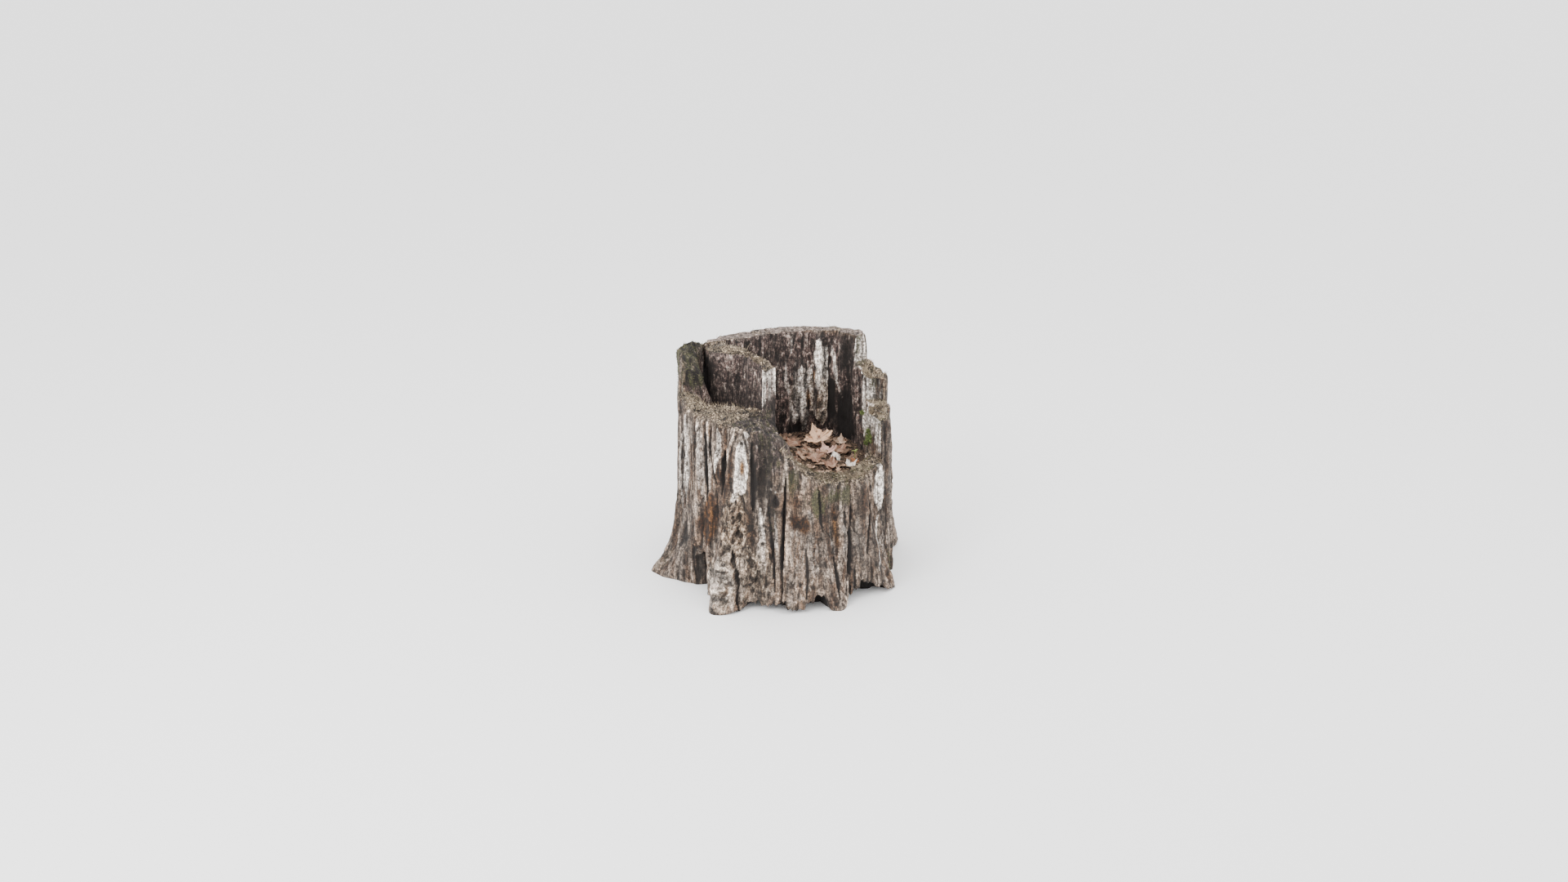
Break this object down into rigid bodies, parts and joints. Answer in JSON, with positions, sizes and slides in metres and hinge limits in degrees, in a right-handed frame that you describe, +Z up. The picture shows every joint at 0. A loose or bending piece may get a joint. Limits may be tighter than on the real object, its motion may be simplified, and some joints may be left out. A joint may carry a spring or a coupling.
{
  "type": "tree stump",
  "caption": "Hollow weathered tree stump without bark: stepped broken rim, inner wall, buttress roots, and a bed of humus with fallen leaves, twigs and a seedling inside.",
  "frame": {"origin": "on the ground, under the middle of the trunk, on the flat underside", "axes": "+Z up, -Y to the front where the rim has broken away lowest, +X to the right seen from the front"},
  "size_m": [1.0349, 1.0759, 0.9151],
  "materials": {
    "weathered_wood": "matt, weathered grey, cracked",
    "humus": "matt, crumbly",
    "leaf_tan": "matt, dry",
    "leaf_brown": "matt, dry",
    "leaf_pale": "matt, dry",
    "twig_bark": "matt",
    "seedling_green": "satin, fresh"
  },
  "bodies": {
    "root": {"stump_wood": "weathered_wood", "humus": "humus", "seedling": "seedling_green", "twig_pale": "twig_bark", "twig_dark": "twig_bark", "leaf_broad": "leaf_tan", "leaf_brown": "leaf_brown", "leaf_pale": "leaf_pale", "leaf_curled": "leaf_brown", "leaf_cream": "leaf_pale", "leaf_rust": "leaf_tan", "leaf_upright": "leaf_pale", "leaf_under": "leaf_brown", "leaf_hidden": "leaf_tan", "leaf_front": "leaf_brown", "leaf_back": "leaf_tan", "leaf_folded": "leaf_tan", "leaf_dark": "leaf_brown", "leaf_left": "leaf_pale"}
  },
  "joints": []
}
